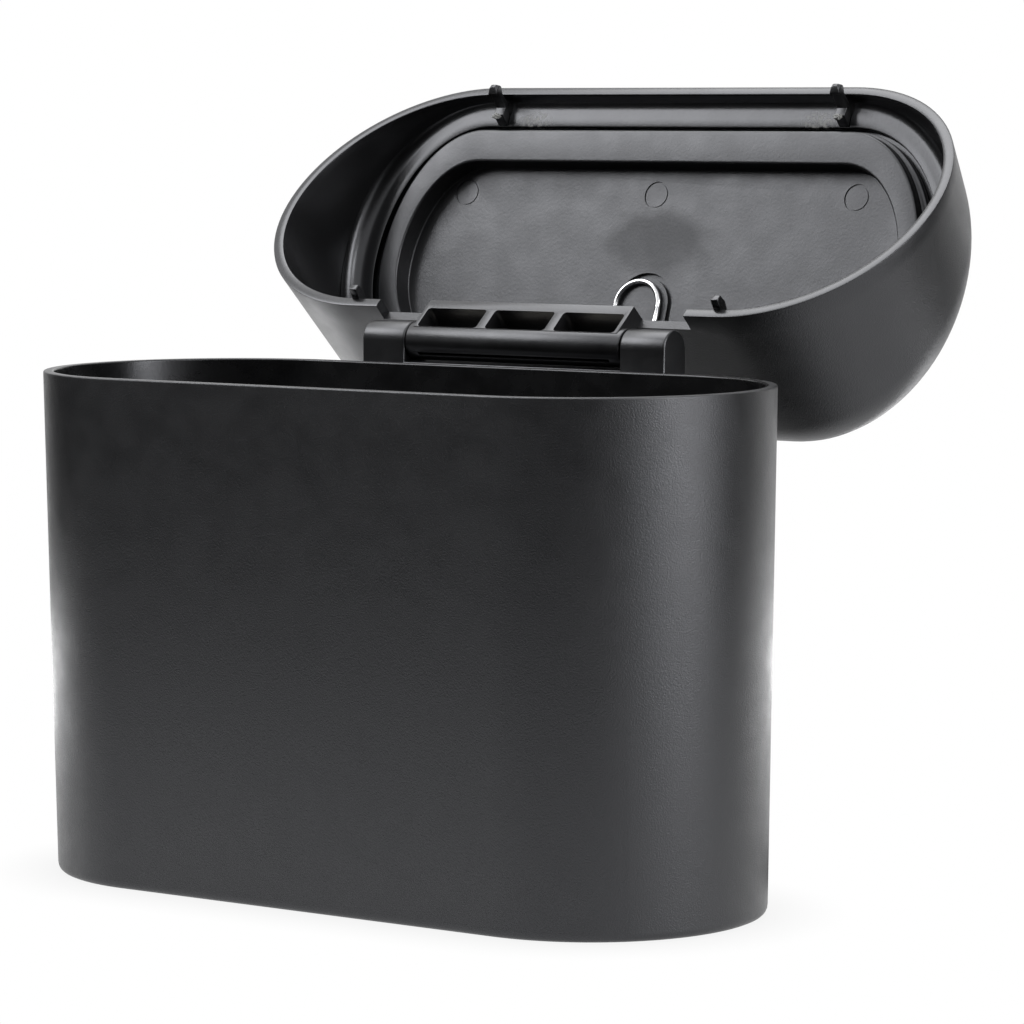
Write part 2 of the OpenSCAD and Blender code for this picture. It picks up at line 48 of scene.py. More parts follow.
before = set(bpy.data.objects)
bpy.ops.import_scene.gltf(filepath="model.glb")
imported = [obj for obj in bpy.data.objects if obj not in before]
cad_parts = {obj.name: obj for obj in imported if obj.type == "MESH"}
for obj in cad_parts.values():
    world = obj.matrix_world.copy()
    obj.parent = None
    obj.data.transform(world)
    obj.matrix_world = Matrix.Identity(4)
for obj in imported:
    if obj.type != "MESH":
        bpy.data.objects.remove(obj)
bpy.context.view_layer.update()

MM = 0.001
COLUMNS = 56
CRISP_ANGLE = math.radians(35)
# Sizes of the CAD source that the finished meshes share, in millimetres and degrees
END_R = 44.0
RIM_IN = 41.1
HALF_L = 56.0
BODY_H = 125.5
AXIS_Y = 51.0
AXIS_Z = 130.8
KNUCKLE_R = 4.9
PIN_R = 1.25
HOOK_X = 53.5
LID_Z = 125.8
OPEN_DEG = 140.5
SLOPE = math.radians(32)
FACE_UP = Vector((0, -math.sin(SLOPE), math.cos(SLOPE)))
FACE_H = 40.594
FLAP_UP = -9.161
CREST_R = 14.0
LID_DRAFT = math.radians(6.1)
LEDGE_W = -9.5
SEAT_W = -7.1
RING_TOP = -12.7
PANEL_IN = -6.7
PANEL_OUT = -4.9
FLAP_HALF = 57.196
# Oblong outlines: how far their ends reach past the flap's half length, then their depth at front and rear
SEAT = (30.5, 38.99, 32.59)
OPENING = (26.8, 35.69, 29.29)
RING = (26.3, 37.29, 30.89)
RECESS = (20.5, 28.29, 23.89)
FLANGE = (28.2, 38.09, 31.69)
# Walls, gaps, hinge and spring of the lid
RING_WALL = 1.7
LID_WALL = 2.0
FRAME_GAP = 0.15
ROD_V = 36.791
ROD_W = -14.0
ROD_R = 1.0
EYE_R = 2.7
ARM_X = 29.5
ARM_HALF = 3.75
PAD_R = 7.5
GROOVE_W = 1.3
GROOVE_D = 1.0
WIRE_R = 0.75
SPRING_SLID = 1.4
# Camera that sees the bin as the photo does: degrees, millimetres and pixels
VIEW_AZIMUTH, VIEW_ELEVATION, VIEW_ROLL = 35.22, 5.48, -0.2
VIEW_TARGET = (33.13, 0, 94.19)
VIEW_DISTANCE = 1074.9
FOCAL_PIXELS, PICTURE_PIXELS = 4494.65, 1024
SENSOR_WIDTH = 36.0


# ---------------------------------------------------------------- sizes and colours that a user may change


class BinLook(bpy.types.PropertyGroup):
    """Colours and surface of the moulded plastic."""

    shell_colour: bpy.props.FloatVectorProperty(
        name="Shell colour", description="Colour of the textured black plastic", subtype="COLOR",
        size=3, min=0.0, max=1.0, default=(0.006, 0.006, 0.0063))
    inner_colour: bpy.props.FloatVectorProperty(
        name="Inner colour", description="Colour of the smooth black plastic inside the lid", subtype="COLOR",
        size=3, min=0.0, max=1.0, default=(0.004, 0.004, 0.0042))
    grain: bpy.props.FloatProperty(
        name="Grain", description="Height of the moulded texture", subtype="FACTOR",
        min=0.0, max=1.0, default=0.30)
    edge_round: bpy.props.FloatProperty(
        name="Edge rounding", description="Radius of small moulded edges, in millimetres",
        min=0.1, max=0.6, default=0.35)


class MetalLook(bpy.types.PropertyGroup):
    """Colours of the spring wire and the pins."""

    wire_colour: bpy.props.FloatVectorProperty(
        name="Wire colour", description="Colour of the plated spring wire", subtype="COLOR",
        size=3, min=0.0, max=1.0, default=(0.78, 0.78, 0.80))
    pin_colour: bpy.props.FloatVectorProperty(
        name="Pin colour", description="Colour of the steel pins", subtype="COLOR",
        size=3, min=0.0, max=1.0, default=(0.55, 0.52, 0.46))


class StageLook(bpy.types.PropertyGroup):
    """Floor, light and camera."""

    side_light: bpy.props.FloatProperty(
        name="Side light", description="Brightness of the soft lamp on the right, where 1 is white",
        min=0.0, default=7.0)
    front_light: bpy.props.FloatProperty(
        name="Front light", description="Brightness of the soft lamp high at the front left, where 1 is white",
        min=0.0, default=4.7)
    top_light: bpy.props.FloatProperty(
        name="Top light", description="Brightness of the soft lamp overhead, where 1 is white",
        min=0.0, default=3.7)
    left_light: bpy.props.FloatProperty(
        name="Left light", description="Brightness of the soft lamp high on the left, where 1 is white",
        min=0.0, default=3.5)
    right_light: bpy.props.FloatProperty(
        name="Right light", description="Brightness of the small soft lamp high at the front right, where 1 is white",
        min=0.0, default=8.0)
    strip_light: bpy.props.FloatProperty(
        name="Strip light", description="Brightness of the two low lamps left and behind, before each lamp's share",
        min=0.0, default=9.0)
    board_distance: bpy.props.FloatProperty(
        name="Board distance", description="How far the black boards stand from the bin", subtype="DISTANCE",
        unit="LENGTH", min=0.3, default=0.44)
    board_height: bpy.props.FloatProperty(
        name="Board height", description="Height of the black boards", subtype="DISTANCE",
        unit="LENGTH", min=0.1, default=0.36)
    board_from: bpy.props.FloatProperty(
        name="Board start", description="Where the black boards start, in degrees from the front towards the right",
        min=-180, max=180, default=-104)
    board_to: bpy.props.FloatProperty(
        name="Board end", description="Where the black boards end, in degrees from the front towards the right",
        min=-180, max=180, default=62)
    floor_colour: bpy.props.FloatVectorProperty(
        name="Floor colour", description="Colour of the floor", subtype="COLOR",
        size=3, min=0.0, max=1.0, default=(0.86, 0.86, 0.87))


# ---------------------------------------------------------------- places and outlines


def lid_place():
    """From the closed lid's own frame to where the lid stands open."""
    axis = Matrix.Translation((0, AXIS_Y, AXIS_Z))
    swing = Matrix.Rotation(math.radians(-OPEN_DEG), 4, "X")
    return axis @ swing @ Matrix.Translation((0, -AXIS_Y, LID_Z - AXIS_Z))


def face_place():
    """From the lid's sloping face to the closed lid's own frame."""
    return Matrix.Translation((0, 0, FACE_H)) @ Matrix.Rotation(SLOPE, 4, "X")


def flap_place():
    return face_place() @ Matrix.Translation((0, FLAP_UP, 0))


def columns():
    """Angles and sides of the columns that run round an oblong outline, from the front right corner."""
    right = [(1, -90 + 180 * i / COLUMNS) for i in range(COLUMNS + 1)]
    left = [(-1, 90 - 180 * i / COLUMNS) for i in range(COLUMNS + 1)]
    return [(side, math.radians(a)) for side, a in right + left]


def stadium_row(radius, z):
    return [Vector((side * (HALF_L + radius * math.cos(a)), radius * math.sin(a), z)) for side, a in columns()]


def oval_row(rx, front, rear, w):
    """An oblong row with elliptical ends, deeper at the front than at the rear."""
    row = []
    for side, a in columns():
        deep = front if a < 0 else rear
        row.append(Vector((side * (FLAP_HALF + rx * math.cos(a)), deep * math.sin(a), w)))
    return row


def rounded(profile, steps):
    """Rounds the corners of a profile. Each entry holds its values, then its rounding radius.

    The first and last entries stay. The last two values are the ones that measure the rounding.
    """
    out = [profile[0][:-1]]
    for i in range(1, len(profile) - 1):
        before, here, after = (Vector(p[:-1]) for p in profile[i - 1 : i + 2])
        radius = profile[i][-1]
        if radius <= 0:
            out.append(tuple(here))
            continue
        back, ahead = before - here, after - here
        flat_back = Vector((back[-2], back[-1]))
        flat_ahead = Vector((ahead[-2], ahead[-1]))
        turn = math.pi - flat_back.angle(flat_ahead)
        cut = radius * math.tan(turn / 2)
        start = here + back * min(0.45, cut / flat_back.length)
        end = here + ahead * min(0.45, cut / flat_ahead.length)
        for k in range(steps + 1):
            t = k / steps
            out.append(tuple(start * (1 - t) ** 2 + here * (2 * t * (1 - t)) + end * t * t))
    out.append(profile[-1][:-1])
    return out


def between(a, b, t):
    return [p.lerp(q, t) for p, q in zip(a, b)]


# ---------------------------------------------------------------- meshes


def shade_smooth(bm):
    """Smooth faces that keep a crisp edge wherever the surface turns sharply."""
    for face in bm.faces:
        face.smooth = True
    for edge in bm.edges:
        edge.smooth = not (len(edge.link_faces) == 2 and edge.calc_face_angle(0) > CRISP_ANGLE)


def settle(name, mesh):
    """Faces outwards, smooth surfaces and crisp edges, as a linked object."""
    bm = bmesh.new()
    bm.from_mesh(mesh)
    bmesh.ops.remove_doubles(bm, verts=bm.verts, dist=1e-7)
    bmesh.ops.recalc_face_normals(bm, faces=bm.faces)
    shade_smooth(bm)
    bm.to_mesh(mesh)
    bm.free()
    obj = bpy.data.objects.new(name, mesh)
    bpy.context.scene.collection.objects.link(obj)
    return obj


def mesh_piece(name, points, faces, place):
    """A piece from points in millimetres and their faces."""
    mesh = bpy.data.meshes.new(name)
    mesh.from_pydata([place @ Vector(p) * MM for p in points], [], faces)
    return settle(name, mesh)


def lofted(name, rows, place, ring=False):
    """A skin over rows of points that all run round the same way. A ring joins the last row to the first."""
    n = len(rows[0])
    points = [p for row in rows for p in row]
    faces = []
    last = len(rows) if ring else len(rows) - 1
    for i in range(last):
        a, b = i * n, (i + 1) % len(rows) * n
        faces += [(a + k, a + (k + 1) % n, b + (k + 1) % n, b + k) for k in range(n)]
    if not ring:
        faces += [tuple(range(n - 1, -1, -1)), tuple(last * n + k for k in range(n))]
    return mesh_piece(name, points, faces, place)


def prism_x(name, outline, x0, x1, place, bevel=0.0, segments=3):
    """A prism along X from an outline of (y, z) points, with small rounded edges."""
    obj = lofted(name, [[(x, y, z) for y, z in outline] for x in (x0, x1)], place)
    if bevel:
        round_edges(obj, bevel, segments)
    return obj


def round_edges(obj, radius, segments=3, angle=32):
    mod = obj.modifiers.new("Moulded edges", "BEVEL")
    mod.width = radius * MM
    mod.segments = segments
    mod.limit_method = "ANGLE"
    mod.angle_limit = math.radians(angle)
    mod.harden_normals = False
    mod.use_clamp_overlap = True
    apply_modifiers(obj)


def apply_modifiers(obj):
    """Keeps what the modifiers make as the piece's own mesh."""
    bpy.context.view_layer.update()
    made = bpy.data.meshes.new_from_object(obj.evaluated_get(bpy.context.evaluated_depsgraph_get()))
    obj.modifiers.clear()
    obj.data = made
    bm = bmesh.new()
    bm.from_mesh(made)
    shade_smooth(bm)
    bm.to_mesh(made)
    bm.free()


def combine(obj, operation, others):
    """Takes the other closed pieces from a closed piece, or joins them to it, and removes them."""
    for other in others:
        mod = obj.modifiers.new("Combine", "BOOLEAN")
        mod.object = other
        mod.operation = operation
        mod.solver = "EXACT"
    apply_modifiers(obj)
    for other in others:
        bpy.data.objects.remove(other)


def circle_pts(y, z, r, a0=0.0, a1=360.0, steps=48):
    n = steps if abs(a1 - a0) >= 360 else steps + 1
    return [(y + r * math.cos(math.radians(a0 + (a1 - a0) * i / steps)),
             z + r * math.sin(math.radians(a0 + (a1 - a0) * i / steps))) for i in range(n)]


def round_bar(name, x0, x1, y, z, r, place, edge=0.2, sides=48):
    """A round bar along X with rounded ends."""
    def ring(x, radius):
        return [Vector((x, y + radius * math.cos(2 * math.pi * k / sides),
                        z + radius * math.sin(2 * math.pi * k / sides))) for k in range(sides)]
    rows = [ring(x0, r - edge), ring(x0 + edge * 0.3, r - edge * 0.3), ring(x0 + edge, r),
            ring(x1 - edge, r), ring(x1 - edge * 0.3, r - edge * 0.3), ring(x1, r - edge)]
    return lofted(name, rows, place)


# ---------------------------------------------------------------- nodes


def fill_inputs(tree, node, inputs):
    """Gives each input of a node its value, or links it to a socket."""
    for name, value in inputs.items():
        if isinstance(value, bpy.types.NodeSocket):
            tree.links.new(value, node.inputs[name])
        else:
            node.inputs[name].default_value = value


def add_node(tree, kind, inputs=None, **settings):
    node = tree.nodes.new(kind)
    for name, value in settings.items():
        setattr(node, name, value)
    fill_inputs(tree, node, inputs or {})
    return node


def object_place(tree):
    return add_node(tree, "ShaderNodeTexCoord").outputs["Object"]


def noise_value(tree, where, scale, detail, **more):
    inputs = {"Vector": where, "Scale": scale, "Detail": detail, **more}
    return add_node(tree, "ShaderNodeTexNoise", inputs).outputs["Fac"]


def scaled_place(tree, scale):
    """The place on the piece for a texture with its own scale along each axis."""
    return add_node(tree, "ShaderNodeMapping", {"Vector": object_place(tree), "Scale": scale}).outputs["Vector"]


def math_value(tree, operation, *values):
    return add_node(tree, "ShaderNodeMath", dict(enumerate(values)), operation=operation).outputs[0]


def map_value(tree, value, from_min, from_max, to_min=0.0, to_max=1.0, **settings):
    inputs = {"Value": value, "From Min": from_min, "From Max": from_max, "To Min": to_min, "To Max": to_max}
    return add_node(tree, "ShaderNodeMapRange", inputs, **settings).outputs["Result"]


def mixed_colour(tree, factor, first, second, blend="MIX"):
    inputs = {"Factor": factor, "A": first, "B": second}
    return add_node(tree, "ShaderNodeMix", inputs, data_type="RGBA", blend_type=blend).outputs["Result"]


def distance_from(tree, centre, scale):
    """How far a point of the piece lies from a place, with a scale along each axis."""
    apart = add_node(tree, "ShaderNodeVectorMath", {0: object_place(tree), 1: centre}, operation="SUBTRACT")
    scaled = add_node(tree, "ShaderNodeVectorMath", {0: apart.outputs["Vector"], 1: scale}, operation="MULTIPLY")
    return add_node(tree, "ShaderNodeVectorMath", {0: scaled.outputs["Vector"]}, operation="LENGTH").outputs["Value"]


def mix_surface(tree, factor, first, second, out):
    """Sends a mix of two shaders to the output node."""
    mix = add_node(tree, "ShaderNodeMixShader", {"Fac": factor, 1: first, 2: second})
    fill_inputs(tree, out, {"Surface": mix.outputs["Shader"]})


def shaded_material(name, inputs):
    """A material whose Principled BSDF has these inputs."""
    mat = bpy.data.materials.new(name)
    mat.use_nodes = True
    fill_inputs(mat.node_tree, mat.node_tree.nodes["Principled BSDF"], inputs)
    return mat


# ---------------------------------------------------------------- finishes


def moulded_grain():
    """Fine spark-eroded texture with faint handling marks: puts out colour, roughness and height."""
    group = bpy.data.node_groups.get("Moulded grain")
    if group:
        return group
    group = bpy.data.node_groups.new("Moulded grain", "ShaderNodeTree")
    sockets = group.interface
    sockets.new_socket("Base", in_out="INPUT", socket_type="NodeSocketColor").default_value = (0.03, 0.03, 0.032, 1)
    for name, value in (("Grain size", 900.0), ("Mottle", 0.15), ("Roughness", 0.5), ("Wear", 0.3)):
        sockets.new_socket(name, in_out="INPUT", socket_type="NodeSocketFloat").default_value = value
    for name, kind in (("Colour", "NodeSocketColor"), ("Rough", "NodeSocketFloat"), ("Height", "NodeSocketFloat")):
        sockets.new_socket(name, in_out="OUTPUT", socket_type=kind)
    enter = add_node(group, "NodeGroupInput").outputs
    fine = noise_value(group, object_place(group), enter["Grain size"], 3.0, Roughness=0.6)
    broad = noise_value(group, object_place(group), 22.0, 4.0)
    marks = noise_value(group, scaled_place(group, (20.0, 20.0, 24.0)), 6.0, 6.0)
    paler = math_value(group, "MULTIPLY", broad, enter["Mottle"])
    mottled = mixed_colour(group, paler, enter["Base"], (0.003, 0.003, 0.0031, 1), "ADD")
    specks = map_value(group, fine, 0.3, 0.7, 0.8, 1.2)
    handled = map_value(group, marks, 0.40, 0.72, 0.06, -0.12)
    worn = math_value(group, "MULTIPLY", handled, enter["Wear"])
    add_node(group, "NodeGroupOutput", {
        "Colour": mixed_colour(group, 1.0, mottled, specks, "MULTIPLY"),
        "Rough": math_value(group, "ADD", enter["Roughness"], worn),
        "Height": fine})
    return group


def plastic(name, colour, grain_size, grain_height, roughness, mottle=0.3, wear=0.3, specular=0.74):
    """Moulded black plastic with its own grain."""
    mat = shaded_material(name, {
        "Specular IOR Level": specular, "IOR": 1.5, "Specular Tint": (0.93, 0.945, 1.0, 1)})
    tree = mat.node_tree
    grain = add_node(tree, "ShaderNodeGroup", {
        "Base": (*colour, 1), "Grain size": grain_size, "Mottle": mottle, "Roughness": roughness, "Wear": wear,
    }, node_tree=moulded_grain()).outputs
    bump = add_node(tree, "ShaderNodeBump", {"Strength": grain_height, "Distance": 0.0002, "Height": grain["Height"]})
    fill_inputs(tree, tree.nodes["Principled BSDF"], {
        "Base Color": grain["Colour"], "Roughness": grain["Rough"], "Normal": bump.outputs["Normal"]})
    return mat


def spot_mask(tree, centre, scale, inner, outer):
    """Runs from 1 inside an inner distance from a place to 0 outside an outer one, with a ragged rim."""
    rag = noise_value(tree, object_place(tree), 160.0, 5.0)
    ragged = math_value(tree, "MULTIPLY_ADD", rag, outer * 0.7, distance_from(tree, centre, scale))
    return map_value(tree, ragged, outer * 1.35, inner + outer * 0.35)


def add_roughness(tree, mask, amount):
    rough = tree.nodes["Principled BSDF"].inputs["Roughness"]
    tree.links.new(math_value(tree, "MULTIPLY_ADD", mask, amount, rough.links[0].from_socket), rough)


def dull_spot(mat, centre, radius):
    """A patch that handling has made a little duller."""
    mask = spot_mask(mat.node_tree, centre, (0.56, 1, 1), radius * 0.6, radius)
    add_roughness(mat.node_tree, mask, 0.14)


def bond_residue(mat, centre):
    """A smear of dried bond: paler and duller, with gaps."""
    tree = mat.node_tree
    spot = spot_mask(tree, centre, (0.5, 1, 1), 0.0012, 0.0028)
    gaps = map_value(tree, noise_value(tree, object_place(tree), 700.0, 4.0), 0.42, 0.62)
    mask = math_value(tree, "MULTIPLY", spot, gaps)
    base = tree.nodes["Principled BSDF"].inputs["Base Color"]
    tree.links.new(mixed_colour(tree, mask, base.links[0].from_socket, (0.22, 0.22, 0.21, 1)), base)
    add_roughness(tree, mask, 0.25)


def metal(name, colour, roughness, scratch):
    """Bare or plated steel with drawn scratches along X."""
    mat = shaded_material(name, {"Metallic": 1.0})
    tree = mat.node_tree
    drawn = noise_value(tree, scaled_place(tree, (40.0, 900.0, 900.0)), 2.0, 5.0)
    fill_inputs(tree, tree.nodes["Principled BSDF"], {
        "Base Color": mixed_colour(tree, drawn, (*[c * 0.85 for c in colour], 1), (*colour, 1)),
        "Roughness": map_value(tree, drawn, 0.0, 1.0, roughness - scratch, roughness + scratch)})
    return mat


def material(name):
    """The finish of that name, made once from the panel's values."""
    found = bpy.data.materials.get(name)
    if found:
        return found
    look = bpy.context.scene.bin_look
    steel = bpy.context.scene.metal_look
    if name == "Textured shell":
        return plastic(name, look.shell_colour, 2600.0, look.grain * 1.5, 0.38, mottle=0.35, wear=0.35)
    if name == "Smooth inner plastic":
        return plastic(name, look.inner_colour, 1100.0, look.grain * 0.25, 0.25, wear=0.2)
    if name == "Bin inside":
        return plastic(name, look.inner_colour, 1100.0, look.grain * 0.3, 0.26, wear=0.5, specular=0.4)
    if name == "Hinge plastic":
        return plastic(name, look.inner_colour, 900.0, look.grain * 0.5, 0.33, wear=0.4)
    if name == "Broken end":
        return plastic(name, (0.30, 0.30, 0.29), 2500.0, 1.0, 0.5, mottle=1.0, wear=0.5)
    if name == "Flap plastic":
        mat = plastic(name, look.inner_colour, 1300.0, look.grain * 0.6, 0.36, mottle=0.5, wear=0.4)
        dull_spot(mat, lid_place() @ flap_place() @ Vector((0.9, -8.5, PANEL_IN)) * MM, 0.0105)
        return mat
    if name == "Ledge plastic":
        mat = plastic(name, look.inner_colour, 1100.0, look.grain * 0.25, 0.25, wear=0.2)
        for x in (-43.4, 45.5):
            bond_residue(mat, lid_place() @ Vector((x, -37.2, 6.1)) * MM)
        return mat
    if name == "Spring wire":
        return metal(name, steel.wire_colour, 0.16, 0.08)
    if name == "Drawn steel":
        return metal(name, steel.pin_colour, 0.30, 0.10)
    raise ValueError(f"no finish is named {name}")


def dress(obj, finish, slot, body, *nodes):
    """Gives a piece its finish, the CAD body it moves with and the CAD nodes it stands for; the record slot is not
    used.
    """
    obj.data.materials.clear()
    obj.data.materials.append(material(finish))
    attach(obj, body)
    if nodes:
        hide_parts(*nodes)
    return obj


def inside_finish(obj, finish, is_inside):
    """A second finish on the faces that the test picks out."""
    obj.data.materials.append(material(finish))
    for poly in obj.data.polygons:
        if is_inside(poly):
            poly.material_index = 1


# ---------------------------------------------------------------- bin


def build_bin():
    profile = rounded([
        (30.0, 0.0, 0.0), (41.81, 0.0, 2.2), (END_R, BODY_H, 0.5), (41.4, BODY_H, 0.5),
        (39.28, 4.0, 4.0), (20.0, 4.0, 0.0)], 5)
    rows = [stadium_row(r, z) for r, z in profile]
    body = lofted("bin_shell", rows, Matrix.Identity(4))
    dress(body, "Textured shell", "body_plastic", "bin", "bin_body")

    def inside(poly):
        c = poly.center
        x = max(0.0, abs(c.x) - HALF_L * MM)
        out = math.hypot(x, c.y) / MM
        normal_out = (x * math.copysign(1, c.x) * poly.normal.x + c.y * poly.normal.y) < 0
        return (c.z > 3.9 * MM and normal_out and out < 43.2) or (c.z > 3.5 * MM and poly.normal.z > 0.7 and out < 41.3)

    inside_finish(body, "Bin inside", inside)
    build_bracket()


def bracket_outline(top, arch):
    """Side view of a bracket arm, or of the lower web between the arms, as (y, z) points."""
    front, back = AXIS_Y - KNUCKLE_R, AXIS_Y + KNUCKLE_R
    wall = END_R - 1.2
    foot = [(wall, BODY_H - 24), (wall + 2, BODY_H - 24), (back - 1, BODY_H - 11), (back, BODY_H - 8.5)]
    crown = circle_pts(AXIS_Y, AXIS_Z, KNUCKLE_R, 0, 180, 28) if arch else [(back, top), (front, top)]
    return foot + crown + [(front, BODY_H - 1), (wall, BODY_H - 1)]


def build_bracket():
    edge = bpy.context.scene.bin_look.edge_round
    here = Matrix.Identity(4)
    inner, outer = 33.05, 46.35
    web_top = AXIS_Z - KNUCKLE_R - 0.35
    web = prism_x("hinge_web", bracket_outline(web_top, False), -inner - 0.5, inner + 0.5, here, edge)
    dress(web, "Hinge plastic", "body_plastic", "bin")
    for side, name in ((-1, "left"), (1, "right")):
        x0, x1 = sorted((side * inner, side * outer))
        arm = prism_x(f"hinge_arm_{name}", bracket_outline(AXIS_Z, True), x0, x1, here, edge + 0.25, 4)
        dress(arm, "Hinge plastic", "body_plastic", "bin")
        x0, x1 = side * HOOK_X - 4.5, side * HOOK_X + 4.5
        z1 = BODY_H - 1.0
        section = [(-41.9, z1 - 1.2), (-40.82, z1 - 1.2), (-40.82, z1), (-41.9, z1)]
        rib = prism_x(f"catch_rib_{name}", section, x0, x1, here, 0.15, 2)
        dress(rib, "Bin inside", "body_plastic", "bin")


# ---------------------------------------------------------------- lid hood


def wall_normal(side, a):
    """The way that the hood's drafted wall faces at a column."""
    return Vector((side * math.cos(a) * math.cos(LID_DRAFT), math.sin(a) * math.cos(LID_DRAFT),
                   math.sin(LID_DRAFT)))


def crest_centre(a, skin_to_wall, plane_w):
    """Centre, out from the end axis, of a ball at a set distance inside the wall, on a plane below the face."""
    rise = math.tan(SLOPE)
    z0 = FACE_H + plane_w / math.cos(SLOPE)
    draft = math.tan(LID_DRAFT)
    return (END_R - skin_to_wall / math.cos(LID_DRAFT) - draft * z0) / (1 + draft * rise * math.sin(a)), z0


def ball_row(centre_skin, plane_w, radius, t, shares=None):
    """Points of balls that roll along wall and sloping face. At t 0 they touch the wall, at t 1 the face.

    Shares below 1 stop the roll short, column by column.
    """
    row = []
    shares = shares or [1.0] * len(columns())
    rise = math.tan(SLOPE)
    for (side, a), share in zip(columns(), shares):
        rho, z0 = crest_centre(a, centre_skin, plane_w)
        centre = Vector((side * (HALF_L + rho * math.cos(a)), rho * math.sin(a), z0 + rise * rho * math.sin(a)))
        wall = wall_normal(side, a)
        angle = wall.angle(FACE_UP)
        turn = t * share
        n = (wall * math.sin((1 - turn) * angle) + FACE_UP * math.sin(turn * angle)) / math.sin(angle)
        row.append(centre + n * radius)
    return row


def on_flap_row(outline, grow, w):
    """An outline of the flap or its seat, grown by a distance, at a level of the sloping face."""
    place = flap_place()
    return [place @ p for p in oval_row(*[v + grow for v in outline], w)]


def crest_edge(row, radius):
    """Sinks an outline on the face where it reaches past the face's edge, so that it lies on the rounded crest.

    Returns the outline and, column by column, the share of the crest's roll that stays outside it.
    """
    sunk, shares = [], []
    for (side, a), p, touch in zip(columns(), row, ball_row(CREST_R, -CREST_R, radius, 1)):
        wall = wall_normal(side, a)
        outward = (wall - FACE_UP * wall.dot(FACE_UP)).normalized()
        past = min(max((p - touch).dot(outward), 0.0), 0.9 * radius)
        sunk.append(p - FACE_UP * (radius - math.sqrt(radius ** 2 - past ** 2)))
        shares.append(1 - math.asin(max(past - 0.3, 0.0) / radius) / wall.angle(FACE_UP))
    return sunk, shares


def build_hood():
    rows = [stadium_row(END_R - 0.5, 0.0), stadium_row(END_R - 0.15, 0.12), stadium_row(END_R - 0.03, 0.5)]
    rim, wall_top = rows[-1], ball_row(CREST_R, -CREST_R, CREST_R, 0)
    rows += [between(rim, wall_top, t / 6) for t in range(1, 6)]
    lip, shares = crest_edge(on_flap_row(OPENING, 3.3, 0.0), CREST_R)
    rows += [ball_row(CREST_R, -CREST_R, CREST_R, t / 14, shares) for t in range(15)]
    rows += [between(rows[-1], lip, 0.5), lip]
    rows += [crest_edge(on_flap_row(OPENING, grow, w), CREST_R)[0] for grow, w in ((2.55, -0.2), (2.1, -0.9))]
    inner_r = CREST_R - LID_WALL
    lip, shares = crest_edge(on_flap_row(OPENING, 2.1, -LID_WALL), inner_r)
    rows += [lip, between(lip, ball_row(CREST_R, -CREST_R, inner_r, 1, shares), 0.5)]
    rows += [ball_row(CREST_R, -CREST_R, inner_r, 1 - t / 10, shares) for t in range(11)]
    inner_top, inner_low = rows[-1], stadium_row(RIM_IN, 0.6)
    rows += [between(inner_top, inner_low, t / 8) for t in range(1, 9)]
    rows += [stadium_row(RIM_IN + 0.12, 0.15), stadium_row(RIM_IN + 0.5, 0.0)]
    hood = lofted("lid_hood_shell", rows, lid_place(), ring=True)
    notch = prism_x("notch_cutter", [(30, -3), (50, -3), (50, 5.0), (30, 5.0)], -47.2, 47.2, lid_place())
    combine(hood, "DIFFERENCE", [notch])
    dress(hood, "Textured shell", "lid_plastic", "lid", "lid_hood")
    back = lid_place().inverted()

    def inside(poly):
        c = back @ (poly.center / MM)
        n = back.to_3x3() @ poly.normal
        x = max(0.0, abs(c.x) - HALF_L)
        out = Vector((math.copysign(x, c.x), c.y, 0))
        if c.z < 0.55 and n.z < -0.5:
            return True
        return out.dot(n) < 0 and c.z < 60 and n.z < 0.6

    inside_finish(hood, "Smooth inner plastic", inside)
    build_hinge_block()
    build_pegs()


def build_hinge_block():
    edge = bpy.context.scene.bin_look.edge_round
    place = lid_place()
    bz = AXIS_Z - LID_Z
    outline = [(RIM_IN, 0), (AXIS_Y, 0), (AXIS_Y, 2 * bz - 0.4), (END_R - 2, 2 * bz + 3), (RIM_IN - 2, 2 * bz + 3)]
    block = prism_x("lid_hinge_block", outline, -31.3, 31.3, place)
    combine(block, "UNION", [round_bar("barrel", -32.7, 32.7, AXIS_Y, bz, KNUCKLE_R, place, 0.35, 64)])
    pocket, rib, slot_half, slot_in = 18.4, 2.6, 29.3, 0.55
    cutters = []
    for i in (-1, 0, 1):
        x0 = i * (pocket + rib) - pocket / 2
        cutters.append(pocket_cutter(x0, x0 + pocket, END_R + 0.05, END_R + 6.95, place))
    slot = [(AXIS_Y, bz - slot_in), (AXIS_Y + 6, bz - slot_in), (AXIS_Y + 6, bz + slot_in), (AXIS_Y, bz + slot_in)]
    cutters.append(prism_x("slot_cutter", slot, -slot_half, slot_half, place))
    cutters.append(round_bar("bore_cutter", -slot_half, slot_half, AXIS_Y, bz, 1.6, place, 0.05, 32))
    combine(block, "DIFFERENCE", cutters)
    round_edges(block, edge, 3, 40)
    dress(block, "Hinge plastic", "lid_plastic", "lid")


def pocket_cutter(x0, x1, y0, y1, place):
    """A block with rounded corners that leaves one pocket in the hinge block."""
    r = 1.0
    outline = []
    for cx, cy, a0 in ((x1 - r, y1 - r, 0), (x0 + r, y1 - r, 90), (x0 + r, y0 + r, 180), (x1 - r, y0 + r, 270)):
        outline += [(cx + r * math.cos(math.radians(a0 + 15 * k)), cy + r * math.sin(math.radians(a0 + 15 * k)))
                    for k in range(7)]
    return lofted("pocket_cutter", [[(x, y, z) for x, y in outline] for z in (-1.0, 8.2)], place)


def build_pegs():
    outline = [(RIM_IN + out, z) for out, z in (
        (0.0, 0.0), (-0.4, -2.6), (-2.2, -2.6), (-3.0, 0.0), (-1.0, 7.0), (0.4, 7.0))]
    for side, name in ((-1, "left"), (1, "right")):
        peg = prism_x(f"lid_peg_{name}", outline, side * 55.6 - 1.1, side * 55.6 + 1.1, lid_place(), 0.25)
        dress(peg, "Smooth inner plastic", "lid_plastic", "lid")


